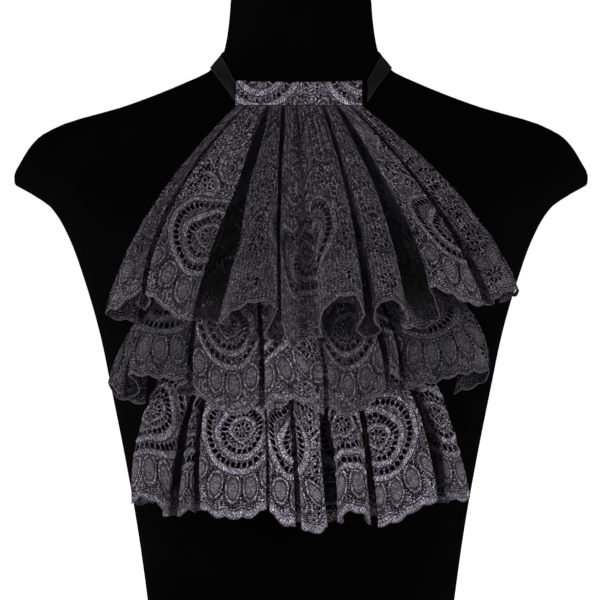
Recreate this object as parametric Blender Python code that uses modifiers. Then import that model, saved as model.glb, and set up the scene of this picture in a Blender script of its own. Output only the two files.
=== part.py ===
# A black lace jabot worn on a limbless dress form.
# Three gathered lace ruffles hang from a neck band and a backing panel, and a satin ribbon
# closes the band round the neck. The front is -Y and the form stands on Z = 0.
# All sizes below are in millimetres, and the meshes are made in metres.

import math

import bpy
import numpy as np

METRES = 0.001

# Dress form: a row for each level section, measured from the middle of the base
FORM_COLUMNS = ("height", "half_width", "front", "back")
FORM_SECTIONS = (
    (0, 117, 84, 80),
    (25, 120, 84, 80),
    (78, 127.5, 86, 81),
    (129, 136.5, 92, 84),
    (187, 148, 101, 89),
    (226, 156, 107, 94),
    (273, 169.5, 109, 100),
    (304, 181, 105, 103),
    (327, 195, 100, 104),
    (338, 211, 97, 103),
    (345.5, 223, 95, 102),
    (351, 223.5, 93, 101),
    (363, 218, 89, 99),
    (381, 205, 81, 94),
    (391.5, 186, 77, 91),
    (405, 140, 70, 86),
    (414, 115, 66, 82),
    (423, 93, 62, 77),
    (433, 72, 58, 71),
    (438, 67, 57, 68),
    (446, 61, 56, 64),
    (458, 58, 57, 59),
    (473, 56, 59, 53),
    (495, 54, 62, 47),
    (501, 52.5, 60.5, 45.5),
    (504, 48, 56, 41),
)
FORM_ROUNDNESS = 2.3  # 2 is an ellipse, more is squarer
FORM_SIDES = 44
PROBE = 0.5  # step, in degrees or millimetres, for finding which way the surface faces
FULLEST_CHEST = 273  # below this height the cloth hangs straight down

# Cloth
SEAM_GAP = 0.3
SKIN_GAP = 0.8  # from the form's curved surface to the flatter cloth that lies on it
LACE_WALL = 1.2
BACKING_WALL = 1.0
RIBBON_WALL = 1.0
BAND_WALL = 3.2
SIDE_REACH = 150  # at this distance from the middle the ruffles have fallen back by SIDE_FALL
SIDE_FALL = 30
SIDE_POWER = 3

# Neck band, at the front of the neck
BAND_LEFT = -50.0
BAND_RIGHT = 46.5
BAND_LOW = 403.3
BAND_HIGH = 423.0
BAND_DIP = 1.6  # the top edge sags this much in the middle
BAND_STEPS = 18
BAND_EDGE_ROUND = 0.7

# Ribbon: where its two edges lie round the neck, in degrees from the front
RIBBON_COLUMNS = ("low_turn", "low_height", "high_turn", "high_height")
RIBBON_EDGES = (
    (36.5, 405.0, 42.0, 422.5),
    (46.5, 418.5, 51.5, 431.5),
    (57, 427.0, 61, 438.5),
    (73, 433.0, 74, 443.5),
    (92, 436.0, 92, 447.0),
    (130, 443.0, 130, 454.5),
    (180, 446.5, 180, 458.5),
)
RIBBON_STEPS = 26
NAPE_OVERLAP_TURN = 11  # each ribbon runs this many degrees past the middle of the nape
FASTENER_TURN = 10
FASTENER_WALL = 1.2
FASTENER_MARGIN = 1.5
RIBBON_RISE_TURN = 150  # the upper ribbon starts to climb over the fastener here

# Backing panel
BACKING_COLUMNS = ("height", "half_width")
BACKING_SECTIONS = ((403, 47), (345, 68), (289, 86), (206, 101))
BACKING_STEPS = 20
BACKING_ROWS = 12

# Scalloped border of the lace
LOBE_WIDTH = 13.0
LOBE_DEPTH = 2.4
LOBES_PER_SCALLOP = 6
SCALLOP_DEPTH = 2.5

# Shape of a pleat, as shares of its width or depth
FACE_SHOULDER = 0.28  # how far in from each edge the face reaches its full depth
EDGE_DROP = 0.22  # how far back the edge of a face lies
TUCK = 0.2  # how far the cloth folds in behind each edge
TUCK_DEPTH = 0.4  # where between valley and face the tuck lies
HEM_TILT = 0.3  # how much of the height from edge to edge shows between the shoulders
TUCK_HEM = 0.7  # how far the hem has come from the face's height to the valley's at the tuck
TUCK_GAP = 16  # valleys at least this deep have the whole tuck
FRONT_BLOOM = 0.8  # powers of the level by which faces and turned sides grow from seam to hem
SIDE_BLOOM = 2.0
CLOSING = 0.5  # part of the way down, the gap between two faces is drawn together by this share
CLOSING_LEVEL = 0.36
CLOSING_REACH = 0.16
LEAST_GAP = 3.5  # what the drawing together leaves between two faces
RETURN_CURL = 0.12  # the turned-back side bows out by this share

RUFFLE_LEVELS = (0.0, 0.12, 0.3, 0.5, 0.68, 0.85, 1.0)
SEAM_FRONT = 4.6  # depth of the gathers at the seam, from the chest
SEAM_VALLEY = 3.0

# Ruffles: a row for each pleat, left to right. x is from the middle, heights are of the hem,
# and depths are in front of the chest. A valley lies between a pleat and the next one: fall is
# the power of the level by which it deepens.
PLEAT_COLUMNS = (
    "left_seam", "left_mid", "left_hem", "right_seam", "right_mid", "right_hem",
    "front", "valley", "hem_left", "hem_middle", "hem_right", "hem_valley",
    "fall",
)
RUFFLES = {
    "tier_top": {
        "seam": 402.8,
        "side_left": {"width": 24, "depth": 24, "hem": 243},
        "side_right": {"width": 14, "depth": 24, "hem": 258},
        "pleats": (
            (-49.0, -111.0, -146.0, -43.0, -96.0, -118.5, 46, 39, 249, 255, 264, 252, 0.6),
            (-40.5, -92.5, -115.5, -27.0, -56.5, -81.0, 49, 26, 262, 251, 245, 242, 0.5),
            (-23.5, -40.5, -61.5, -15.0, -17.8, -17.0, 48, 31, 241, 253, 252, 227, 0.6),
            (-11.5, -15.0, -14.5, -5.5, -3.0, -2.5, 51, 46, 241, 228, 224, 230, 1.0),
            (-2.0, 8.0, 13.5, 15.0, 36.0, 47.0, 51, 27, 240, 259, 246, 232, 1.1),
            (18.5, 40.0, 54.0, 25.5, 60.0, 79.0, 48, 25, 245, 256, 243, 238, 0.6),
            (29.5, 70.0, 95.0, 36.5, 96.5, 136.0, 46, 35, 267, 260, 255, 255, 0.7),
            (39.0, 100.0, 142.0, 46.0, 119.0, 163.5, 43, 27, 257, 262, 265, 260, 1.0),
        ),
    },
    "tier_middle": {
        "seam": 289,
        "side_left": {"width": 28, "depth": 13, "hem": 180},
        "side_right": {"width": 26, "depth": 13, "hem": 189},
        "pleats": (
            (-78.5, -121.0, -145.0, -75.0, -115.0, -132.5, 31, 17, 197, 190, 188, 184, 0.6),
            (-73.0, -113.0, -129.5, -64.0, -80.0, -84.5, 33, 19, 203, 201, 197, 186, 0.6),
            (-61.0, -77.0, -80.5, -37.5, -32.0, -31.5, 37, 24, 194, 177, 182, 178, 0.7),
            (-33.5, -28.0, -27.5, -8.5, 12.0, 17.0, 36, 32, 178, 182, 172, 178, 1.0),
            (-5.0, 15.0, 20.5, 21.5, 51.5, 62.5, 37, 20, 181, 177, 194, 199, 0.8),
            (25.5, 55.0, 66.0, 33.0, 63.0, 73.5, 33, 17, 203, 203, 200, 190, 0.6),
            (36.0, 66.5, 77.5, 78.5, 128.0, 141.0, 33, 17, 192, 200, 203, 196, 1.0),
        ),
    },
    "tier_bottom": {
        "seam": 214,
        "side_left": {"width": 16, "depth": 5, "hem": 104},
        "side_right": {"width": 12, "depth": 5, "hem": 110},
        "pleats": (
            (-97.0, -121.0, -127.5, -73.0, -91.0, -98.0, 22, 5, 106, 108, 95, 96, 0.6),
            (-70.0, -84.5, -92.5, -66.0, -78.0, -79.0, 22, 9, 97, 101, 101, 101, 0.6),
            (-63.0, -74.5, -75.0, -30.5, -27.0, -26.0, 26, 14, 102, 96.5, 103, 102, 0.6),
            (-28.5, -24.6, -23.4, -12.0, -7.5, -4.0, 25, 13, 100, 92, 91, 94, 0.6),
            (-8.5, -3.5, 0.5, 6.5, 13.5, 19.5, 27, 5, 89, 84, 88, 92, 0.5),
            (15.5, 24.0, 27.0, 36.5, 45.5, 52.0, 26, 11, 92, 101, 91, 95, 0.6),
            (41.0, 51.0, 57.5, 66.5, 91.0, 102.0, 26, 5, 90, 98, 106, 105, 0.5),
            (74.5, 99.5, 107.5, 93.5, 113.0, 127.0, 21, 5, 112, 109, 110, 110, 1.0),
        ),
    },
}

# Colours, roughness and metallic value
FINISHES = {
    "form_cloth": ((0.006, 0.006, 0.007), 0.9, 0.0),
    "black_lace": ((0.035, 0.033, 0.038), 0.6, 0.0),
    "black_satin": ((0.012, 0.012, 0.014), 0.35, 0.0),
    "plain_cotton": ((0.015, 0.015, 0.017), 0.85, 0.0),
    "fastener_nylon": ((0.012, 0.012, 0.013), 0.7, 0.0),
}


def column(rows, names, name):
    """One named column of a table, as an array."""
    place = names.index(name)
    return np.array([row[place] for row in rows], float)


def smooth(at, knots, values):
    """Values between knots on a smooth curve that never swings past a knot's own value."""
    knots = np.asarray(knots, float)
    values = np.asarray(values, float)
    step = np.diff(knots)
    rise = np.diff(values) / step
    slope = np.zeros(len(knots))
    same_way = rise[:-1] * rise[1:] > 0
    before = 2 * step[1:] + step[:-1]
    after = step[1:] + 2 * step[:-1]
    with np.errstate(divide="ignore", invalid="ignore"):
        mean = (before + after) / (before / rise[:-1] + after / rise[1:])
    slope[1:-1] = np.where(same_way, mean, 0.0)
    slope[0] = rise[0]
    slope[-1] = rise[-1]
    at = np.clip(np.asarray(at, float), knots[0], knots[-1])
    i = np.clip(np.searchsorted(knots, at, side="right") - 1, 0, len(step) - 1)
    t = (at - knots[i]) / step[i]
    return (
        values[i] * (1 + 2 * t) * (1 - t) ** 2
        + step[i] * slope[i] * t * (1 - t) ** 2
        + values[i + 1] * t * t * (3 - 2 * t)
        + step[i] * slope[i + 1] * t * t * (t - 1)
    )


def form_size(height, name):
    heights = column(FORM_SECTIONS, FORM_COLUMNS, "height")
    return smooth(height, heights, column(FORM_SECTIONS, FORM_COLUMNS, name))


def form_skin(turn, height):
    """The form's surface at this many degrees round from the front."""
    turn, height = np.broadcast_arrays(np.radians(turn), np.asarray(height, float))
    sideways = np.sin(turn)
    forwards = np.cos(turn)
    depth = np.where(forwards > 0, form_size(height, "front"), form_size(height, "back"))
    across = np.abs(sideways) / form_size(height, "half_width")
    along = np.abs(forwards) / depth
    reach = (across**FORM_ROUNDNESS + along**FORM_ROUNDNESS) ** (-1 / FORM_ROUNDNESS)
    return np.stack([reach * sideways, -reach * forwards, height], axis=-1)


def form_point(turn, height, lift):
    """A point at this distance straight out from the form's surface."""
    round_it = form_skin(turn + PROBE, height) - form_skin(turn - PROBE, height)
    up_it = form_skin(turn, height + PROBE) - form_skin(turn, height - PROBE)
    outwards = np.cross(round_it, up_it)
    outwards /= np.linalg.norm(outwards, axis=-1, keepdims=True)
    return form_skin(turn, height) + outwards * np.asarray(lift)[..., None]


def form_front(x, height):
    """How far in front of the middle plane the form's surface lies at this x."""
    share = np.clip(np.abs(x) / form_size(height, "half_width"), 0, 1)
    return form_size(height, "front") * (1 - share**FORM_ROUNDNESS) ** (1 / FORM_ROUNDNESS)


def chest(x, height):
    """The surface that the cloth hangs in front of: the chest, and straight down below it."""
    front = form_size(np.maximum(height, FULLEST_CHEST), "front")
    hanging = front - SIDE_FALL * (np.abs(x) / SIDE_REACH) ** SIDE_POWER
    return np.maximum(hanging, form_front(x, height))


def hung_point(x, height, depth):
    return np.stack([x, -(chest(x, height) + depth), height], axis=-1)


def sheet_object(name, points, wall, finish, offset=0.0):
    """A sheet through a grid of points in rows and columns, thickened to a wall."""
    rows, columns = points.shape[:2]
    faces = [
        (r * columns + c, r * columns + c + 1, (r + 1) * columns + c + 1, (r + 1) * columns + c)
        for r in range(rows - 1)
        for c in range(columns - 1)
    ]
    made = mesh_object(name, points.reshape(-1, 3), faces, finish)
    solidify = made.modifiers.new("wall", "SOLIDIFY")
    solidify.thickness = wall * METRES
    solidify.offset = offset
    return made


def mesh_object(name, points, faces, finish):
    mesh = bpy.data.meshes.new(name)
    mesh.from_pydata((np.asarray(points) * METRES).tolist(), [], faces)
    mesh.validate()
    mesh.shade_smooth()
    mesh.materials.append(finish_material(finish))
    made = bpy.data.objects.new(name, mesh)
    bpy.data.collections[COLLECTION].objects.link(made)
    return made


def finish_material(finish):
    if finish in bpy.data.materials:
        return bpy.data.materials[finish]
    colour, roughness, metallic = FINISHES[finish]
    material = bpy.data.materials.new(finish)
    material.use_nodes = True
    shader = material.node_tree.nodes["Principled BSDF"]
    shader.inputs["Base Color"].default_value = (*colour, 1)
    shader.inputs["Roughness"].default_value = roughness
    shader.inputs["Metallic"].default_value = metallic
    return material


def make_dress_form():
    """Level rings round the torso, closed by a flat base and a flat cap on the neck."""
    heights = column(FORM_SECTIONS, FORM_COLUMNS, "height")
    turns = np.arange(FORM_SIDES) * 360 / FORM_SIDES
    points = form_skin(turns[None, :], heights[:, None]).reshape(-1, 3)
    faces = []
    for ring in range(len(heights) - 1):
        for side in range(FORM_SIDES):
            beside = (side + 1) % FORM_SIDES
            low = ring * FORM_SIDES
            high = low + FORM_SIDES
            faces.append((low + side, low + beside, high + beside, high + side))
    faces.append(tuple(range(FORM_SIDES - 1, -1, -1)))
    faces.append(tuple(range(len(points) - FORM_SIDES, len(points))))
    mesh_object("dress_form", points, faces, "form_cloth")


def make_neck_band():
    """A folded band that lies on the front of the neck and covers the gathers."""
    x = np.linspace(BAND_LEFT, BAND_RIGHT, BAND_STEPS)
    middle = 1 - (2 * (x - BAND_LEFT) / (BAND_RIGHT - BAND_LEFT) - 1) ** 2
    rows = []
    for share in (0.0, 0.5, 1.0):
        height = BAND_LOW + share * (BAND_HIGH - BAND_DIP * middle - BAND_LOW)
        front = form_front(x, height) + SKIN_GAP + BAND_WALL / 2
        rows.append(np.stack([x, -front, height], axis=-1))
    band = sheet_object("neck_band", np.array(rows), BAND_WALL, "black_lace")
    bevel = band.modifiers.new("rounded edges", "BEVEL")
    bevel.width = BAND_EDGE_ROUND * METRES
    bevel.segments = 2
    bevel.limit_method = "ANGLE"
    bevel.angle_limit = math.radians(50)


def ribbon_points(lift, side):
    """A strip between the two ribbon edges, from the band's end to past the nape."""
    past = RIBBON_EDGES[-1]
    end = (past[0] + NAPE_OVERLAP_TURN, past[1], past[2] + NAPE_OVERLAP_TURN, past[3])
    table = (*RIBBON_EDGES, end)
    low_turns = column(table, RIBBON_COLUMNS, "low_turn")
    low_turn = np.linspace(low_turns[0], low_turns[-1], RIBBON_STEPS)
    low_height, high_turn, high_height = (
        smooth(low_turn, low_turns, column(table, RIBBON_COLUMNS, name))
        for name in ("low_height", "high_turn", "high_height")
    )
    rows = []
    for share in (0.0, 0.5, 1.0):
        turn = low_turn + share * (high_turn - low_turn)
        height = low_height + share * (high_height - low_height)
        rows.append(form_point(turn, height, lift(turn)) * (side, 1, 1))
    return np.array(rows)


def make_ribbons():
    """The left ribbon lies on the neck, and the right one climbs over the fastener."""
    on_neck = SKIN_GAP + RIBBON_WALL / 2
    over = on_neck + RIBBON_WALL + FASTENER_WALL + 2 * SEAM_GAP
    climb = (RIBBON_RISE_TURN, 180 - NAPE_OVERLAP_TURN)

    left = ribbon_points(lambda turn: np.full_like(turn, on_neck), -1)
    right = ribbon_points(lambda turn: smooth(turn, climb, (on_neck, over)), 1)
    apart = np.array([SEAM_GAP, 0, 0])
    sheet_object("ribbon_left", left[::-1] - apart, RIBBON_WALL, "black_satin")
    sheet_object("ribbon_right", right + apart, RIBBON_WALL, "black_satin")


def make_nape_fastener():
    """A pad between the overlapping ribbon ends."""
    turns = np.linspace(180 - FASTENER_TURN, 180 + FASTENER_TURN, 9)
    low = RIBBON_EDGES[-1][1] + FASTENER_MARGIN
    high = RIBBON_EDGES[-1][3] - FASTENER_MARGIN
    lift = SKIN_GAP + RIBBON_WALL + SEAM_GAP + FASTENER_WALL / 2
    heights = np.array([low, (low + high) / 2, high])
    points = form_point(turns[None, :], heights[:, None], lift)
    sheet_object("nape_fastener", points, FASTENER_WALL, "fastener_nylon")


def make_backing_panel():
    """A plain panel from the band down the chest, behind all the ruffles."""
    top = BACKING_SECTIONS[0][0]
    bottom = BACKING_SECTIONS[-1][0]
    heights = np.linspace(bottom, top - SEAM_GAP, BACKING_ROWS)
    table = BACKING_SECTIONS[::-1]
    half = smooth(
        heights,
        column(table, BACKING_COLUMNS, "height"),
        column(table, BACKING_COLUMNS, "half_width"),
    )
    across = np.linspace(-1, 1, BACKING_STEPS)
    x = half[:, None] * across[None, :]
    height = np.broadcast_to(heights[:, None], x.shape)
    points = hung_point(x, height, SKIN_GAP + BACKING_WALL / 2)
    sheet_object("backing_panel", points, BACKING_WALL, "plain_cotton")


def pleat_line(pleats, side, level):
    """Where the left or right edges of all pleats lie at a level from 0, seam, to 1, hem."""
    places = [column(pleats, PLEAT_COLUMNS, f"{side}_{part}") for part in ("seam", "mid", "hem")]
    seam, mid, hem = places
    return (
        seam * (1 - level) * (1 - 2 * level)
        + mid * 4 * level * (1 - level)
        + hem * level * (2 * level - 1)
    )


def grown(seam, hem, level, power):
    return seam + (hem - seam) * level**power


def ruffle_section(ruffle, level):
    """The folded edge of a ruffle at a level: x, depth and hem height of each control point."""
    pleats = ruffle["pleats"]
    left = pleat_line(pleats, "left", level)
    right = pleat_line(pleats, "right", level)
    drawn = CLOSING * math.exp(-((level - CLOSING_LEVEL) / CLOSING_REACH) ** 2) / 2
    closed = drawn * np.maximum(left[1:] - right[:-1] - LEAST_GAP, 0)
    left[1:] -= closed
    right[:-1] += closed
    full_front = column(pleats, PLEAT_COLUMNS, "front")
    front = grown(SEAM_FRONT, full_front, level, FRONT_BLOOM)
    full_gap = (full_front[:-1] + full_front[1:]) / 2 - column(pleats, PLEAT_COLUMNS, "valley")[:-1]
    fall = column(pleats, PLEAT_COLUMNS, "fall")[:-1]
    gap = grown(SEAM_FRONT - SEAM_VALLEY, full_gap, level, fall)
    valley = np.maximum((front[:-1] + front[1:]) / 2 - gap, SEAM_VALLEY)
    hems = {
        part: column(pleats, PLEAT_COLUMNS, f"hem_{part}")
        for part in ("left", "middle", "right", "valley")
    }
    last = len(pleats) - 1
    points = turned_side(ruffle["side_left"], left[0], front[0], level, hems["left"][0], 1)
    for i in range(len(pleats)):
        width = right[i] - left[i]
        before = valley[max(i - 1, 0)]
        after = valley[min(i, last - 1)]
        points.append((left[i], front[i] - EDGE_DROP * (front[i] - before), hems["left"][i]))
        tilt = HEM_TILT * (hems["left"][i] - hems["right"][i])
        points.append((left[i] + FACE_SHOULDER * width, front[i], hems["middle"][i] + tilt))
        points.append((right[i] - FACE_SHOULDER * width, front[i], hems["middle"][i] - tilt))
        points.append((right[i], front[i] - EDGE_DROP * (front[i] - after), hems["right"][i]))
        if i == last:
            break
        beside = left[i + 1]
        folded = TUCK * level * min(gap[i] / TUCK_GAP, 1)
        deep = valley[i] + TUCK_DEPTH * (front[i] - valley[i])
        deep_beside = valley[i] + TUCK_DEPTH * (front[i + 1] - valley[i])
        low = hems["valley"][i]
        low_tuck = hems["right"][i] + TUCK_HEM * (low - hems["right"][i])
        low_beside = hems["left"][i + 1] + TUCK_HEM * (low - hems["left"][i + 1])
        points.append((right[i] - folded * width, deep, low_tuck))
        points.append(((right[i] + beside) / 2, valley[i], low))
        points.append((beside + folded * (right[i + 1] - beside), deep_beside, low_beside))
    side = turned_side(ruffle["side_right"], right[-1], front[-1], level, hems["right"][-1], -1)
    return np.array(points + side[::-1])


def turned_side(side, edge, front, level, hem, inwards):
    """The end of the cloth, turned back behind the outermost pleat."""
    reach = inwards * side["width"] * level
    depth = grown(SEAM_VALLEY, side["depth"], level, SIDE_BLOOM)
    halfway = (depth + front) / 2
    return [
        (edge + reach, depth, side["hem"]),
        (edge + reach * RETURN_CURL, halfway, (side["hem"] + hem) / 2),
    ]


def ruffle_grid(ruffle, levels):
    """Points of a ruffle in rows from seam to hem, with two columns for each border lobe."""
    hem_line = ruffle_section(ruffle, 1.0)
    knots = np.concatenate(
        [[0], np.cumsum(np.hypot(*np.diff(hem_line[:, :2], axis=0).T))]
    )
    lobes = round(knots[-1] / LOBE_WIDTH)
    columns = np.arange(2 * lobes + 1)
    at = knots[-1] * columns / columns[-1]
    scallop = np.sin(math.pi * columns / (2 * LOBES_PER_SCALLOP)) ** 2
    border = LOBE_DEPTH * (columns % 2) + SCALLOP_DEPTH * scallop
    hem = smooth(at, knots, hem_line[:, 2])
    rows = []
    for level in levels:
        section = ruffle_section(ruffle, level)
        x = smooth(at, knots, section[:, 0])
        depth = smooth(at, knots, section[:, 1])
        height = ruffle["seam"] + (hem - ruffle["seam"]) * level
        height = height - border * (level == 1.0)
        rows.append(hung_point(x, height, depth))
    return np.array(rows)


def make_ruffles():
    for name, ruffle in RUFFLES.items():
        points = ruffle_grid(ruffle, RUFFLE_LEVELS)
        sheet_object(name, points[::-1], LACE_WALL, "black_lace")


COLLECTION = "lace_jabot_on_dress_form"
for old in list(bpy.data.objects):
    bpy.data.objects.remove(old, do_unlink=True)
bpy.context.scene.collection.children.link(bpy.data.collections.new(COLLECTION))
make_dress_form()
make_neck_band()
make_ribbons()
make_nape_fastener()
make_backing_panel()
make_ruffles()
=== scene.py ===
# A black lace jabot on a limbless dress form: the looks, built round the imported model.
# Lengths in the tables are millimetres. The front is -Y and the form stands on Z = 0.
import math

import bpy
import numpy as np
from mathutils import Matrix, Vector


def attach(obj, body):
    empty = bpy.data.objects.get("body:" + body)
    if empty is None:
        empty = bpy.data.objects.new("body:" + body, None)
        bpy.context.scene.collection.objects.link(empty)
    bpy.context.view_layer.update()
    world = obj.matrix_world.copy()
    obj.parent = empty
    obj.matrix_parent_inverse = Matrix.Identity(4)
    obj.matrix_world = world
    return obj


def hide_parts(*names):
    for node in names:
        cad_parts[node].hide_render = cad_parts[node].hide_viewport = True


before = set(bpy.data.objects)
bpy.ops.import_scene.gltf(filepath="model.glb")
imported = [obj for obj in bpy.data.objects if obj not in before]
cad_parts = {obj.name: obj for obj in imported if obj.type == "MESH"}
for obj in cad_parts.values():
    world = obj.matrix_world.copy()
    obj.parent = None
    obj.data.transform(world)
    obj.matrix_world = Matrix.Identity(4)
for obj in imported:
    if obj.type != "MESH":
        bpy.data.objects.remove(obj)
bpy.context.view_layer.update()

mm = 0.001

# the torso has the same rows as the solids: height, half width, front, back
formShape = {
    "rows": (
        (0, 117, 84, 80), (25, 120, 84, 80), (78, 127.5, 86, 81), (129, 136.5, 92, 84),
        (187, 148, 101, 89), (226, 156, 107, 94), (273, 169.5, 109, 100), (304, 181, 105, 103),
        (327, 195, 100, 104), (338, 211, 97, 103), (345.5, 223, 95, 102), (351, 223.5, 93, 101),
        (363, 218, 89, 99), (381, 205, 81, 94), (391.5, 186, 77, 91), (405, 140, 70, 86),
        (414, 115, 66, 82), (423, 93, 62, 77), (433, 72, 58, 71), (438, 67, 57, 68),
        (446, 61, 56, 64), (458, 58, 57, 59), (473, 56, 59, 53), (495, 54, 62, 47),
        (501, 52.5, 60.5, 45.5), (504, 48, 56, 41),
    ),
    "roundness": 2.3,
    "sides": 192,
    "rowStep": 4.0,
    "fullestChest": 273,
}

# each ruffle has a row for each pleat, left to right: its edges at the seam, half way down and at the
# hem, how far out its front and the valley after it are, the heights of its hem, the place on the
# lace at its middle, how far the pattern stands out there, which also sets how much darker the face
# is painted as shade, and how far the border's petals show
pleatColumns = (
    "leftSeam", "leftMid", "leftHem", "rightSeam", "rightMid", "rightHem",
    "front", "valley", "hemLeft", "hemMiddle", "hemRight", "hemValley",
    "fall", "laceMiddle", "relief", "petals",
)
ruffles = {
    "tier_top": {
        "seam": 402.8, "columns": 720, "rows": 64,
        "sideLeft": (24, 24, 243), "sideRight": (14, 24, 258),
        "pleats": (
            (-49.0, -111.0, -146.0, -43.0, -96.0, -118.5, 46, 39, 249, 255, 264, 252, 0.6, -41, 0.42, 0.8),
            (-40.5, -92.5, -115.5, -27.0, -56.5, -81.0, 49, 26, 262, 251, 245, 242, 0.5, 63.7, 0.6, 1),
            (-23.5, -40.5, -61.5, -15.0, -17.8, -17.0, 48, 31, 241, 253, 252, 227, 0.6, 195, 0.33, 0.15),
            (-11.5, -15.0, -14.5, -5.5, -3.0, -2.5, 51, 46, 241, 228, 224, 230, 1.0, 291, 0.37, 0.3),
            (-2.0, 8.0, 13.5, 15.0, 36.0, 47.0, 51, 27, 240, 259, 246, 232, 1.1, 341, 0.47, 0.15),
            (18.5, 40.0, 54.0, 25.5, 60.0, 79.0, 48, 25, 245, 256, 243, 238, 0.6, 429, 0.43, 0.15),
            (29.5, 70.0, 95.0, 36.5, 96.5, 136.0, 46, 35, 267, 260, 255, 255, 0.7, 524, 0.65, 1),
            (39.0, 100.0, 142.0, 46.0, 119.0, 163.5, 43, 27, 257, 262, 265, 260, 1.0, 587.7, 0.42, 0.9),
        ),
    },
    "tier_middle": {
        "seam": 289, "columns": 640, "rows": 44,
        "sideLeft": (28, 13, 180), "sideRight": (26, 13, 189),
        "pleats": (
            (-78.5, -121.0, -145.0, -75.0, -115.0, -132.5, 31, 17, 197, 190, 188, 184, 0.6, -50, 0.3, 1),
            (-73.0, -113.0, -129.5, -64.0, -80.0, -84.5, 33, 19, 203, 201, 197, 186, 0.6, 6, 0.34, 1),
            (-61.0, -77.0, -80.5, -37.5, -32.0, -31.5, 37, 24, 194, 177, 182, 178, 0.7, 78, 0.66, 1),
            (-33.5, -28.0, -27.5, -8.5, 12.0, 17.0, 36, 32, 178, 182, 172, 178, 1.0, 182.8, 0.8, 1),
            (-5.0, 15.0, 20.5, 21.5, 51.5, 62.5, 37, 20, 181, 177, 194, 199, 0.8, 234, 0.45, 1),
            (25.5, 55.0, 66.0, 33.0, 63.0, 73.5, 33, 17, 203, 203, 200, 190, 0.6, 315, 0.55, 1),
            (36.0, 66.5, 77.5, 78.5, 128.0, 141.0, 33, 17, 192, 200, 203, 196, 1.0, 396, 0.28, 1),
        ),
    },
    "tier_bottom": {
        "seam": 214, "columns": 600, "rows": 46,
        "sideLeft": (16, 5, 104), "sideRight": (12, 5, 110),
        "pleats": (
            (-97.0, -121.0, -127.5, -73.0, -91.0, -98.0, 22, 5, 106, 108, 95, 96, 0.6, -70, 0.75, 1),
            (-70.0, -84.5, -92.5, -66.0, -78.0, -79.0, 22, 9, 97, 101, 101, 101, 0.6, -2, 0.7, 1),
            (-63.0, -74.5, -75.0, -30.5, -27.0, -26.0, 26, 14, 102, 96.5, 103, 102, 0.6, 71, 1.0, 1),
            (-28.5, -24.6, -23.4, -12.0, -7.5, -4.0, 25, 13, 100, 92, 91, 94, 0.6, 137.5, 1.2, 1),
            (-8.5, -3.5, 0.5, 6.5, 13.5, 19.5, 27, 5, 89, 84, 88, 92, 0.5, 187, 1.05, 1),
            (15.5, 24.0, 27.0, 36.5, 45.5, 52.0, 26, 11, 92, 101, 91, 95, 0.6, 237, 0.95, 1),
            (41.0, 51.0, 57.5, 66.5, 91.0, 102.0, 26, 5, 90, 98, 106, 105, 0.5, 327, 1.0, 1),
            (74.5, 99.5, 107.5, 93.5, 113.0, 127.0, 21, 5, 112, 109, 110, 110, 1.0, 392, 0.9, 1),
        ),
    },
}
pleatShape = {
    # depths at the seam, and the powers by which they grow towards the hem
    "seamFront": 4.6, "seamValley": 3.0, "frontBloom": 0.8, "sideBloom": 2.0, "leastDepth": 2.2,
    # how a face turns at its edges, and how its sides tuck in under it
    "shoulder": 0.28, "edgeDrop": 0.22, "tuck": 0.2, "tuckDepth": 0.4, "tuckHem": 0.7, "tuckGap": 16,
    "returnCurl": 0.12, "hemTilt": 0.3,
    # faces are drawn together by this share at this level, over this reach, down to this gap
    "closing": 0.5, "closingLevel": 0.36, "closingReach": 0.16, "leastGap": 3.5,
    # the outermost cloth falls back towards the torso
    "sideReach": 150, "sideFall": 30, "sidePower": 3,
    # the share of a valley in which spare lace is taken up, and how much the slope counts
    "takenUp": 0.2, "lean": 0.4,
    "rowBloom": 1.25, "gatherPitch": 3.4, "gatherDepth": 1.0, "creases": 26, "creaseDepth": 1.3, "seed": 11,
}

# one repeat of the lace, measured from the hem, with a medallion of three braided rings in it
lace = {
    "repeat": 78.0, "lobe": 13.0, "lobeDepth": 2.4, "scallopDepth": 2.5, "borderReach": 14,
    "medallion": 61.5, "medallionEdge": 32.6, "rings": {"outer": 29.5, "inner": 18.4, "heart": 8.9},
}


def smooth(at, knots, values):
    # a smooth curve through the knots that never swings past a knot's own value
    knots = np.asarray(knots, float)
    values = np.asarray(values, float)
    step = np.diff(knots)
    rise = np.diff(values) / step
    slope = np.zeros(len(knots))
    before = 2 * step[1:] + step[:-1]
    after = step[1:] + 2 * step[:-1]
    with np.errstate(divide="ignore", invalid="ignore"):
        mean = (before + after) / (before / rise[:-1] + after / rise[1:])
    slope[1:-1] = np.where(rise[:-1] * rise[1:] > 0, mean, 0.0)
    slope[0] = rise[0]
    slope[-1] = rise[-1]
    at = np.clip(np.asarray(at, float), knots[0], knots[-1])
    i = np.clip(np.searchsorted(knots, at, side="right") - 1, 0, len(step) - 1)
    t = (at - knots[i]) / step[i]
    return hermite(t, values[i], values[i + 1], step[i] * slope[i], step[i] * slope[i + 1])


def hermite(t, start, end, startSlope, endSlope):
    return (
        start * (1 + 2 * t) * (1 - t) ** 2 + startSlope * t * (1 - t) ** 2
        + end * t * t * (3 - 2 * t) + endSlope * t * t * (t - 1)
    )


formTable = np.array(formShape["rows"], float)


def formSize(height, which):
    return smooth(height, formTable[:, 0], formTable[:, ("halfWidth", "front", "back").index(which) + 1])


def formSkin(turn, height):
    turn, height = np.broadcast_arrays(np.radians(turn), np.asarray(height, float))
    sideways = np.sin(turn)
    forwards = np.cos(turn)
    power = formShape["roundness"]
    depth = np.where(forwards > 0, formSize(height, "front"), formSize(height, "back"))
    across = np.abs(sideways) / formSize(height, "halfWidth")
    reach = (across**power + (np.abs(forwards) / depth) ** power) ** (-1 / power)
    return np.stack([reach * sideways, -reach * forwards, height], axis=-1)


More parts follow.
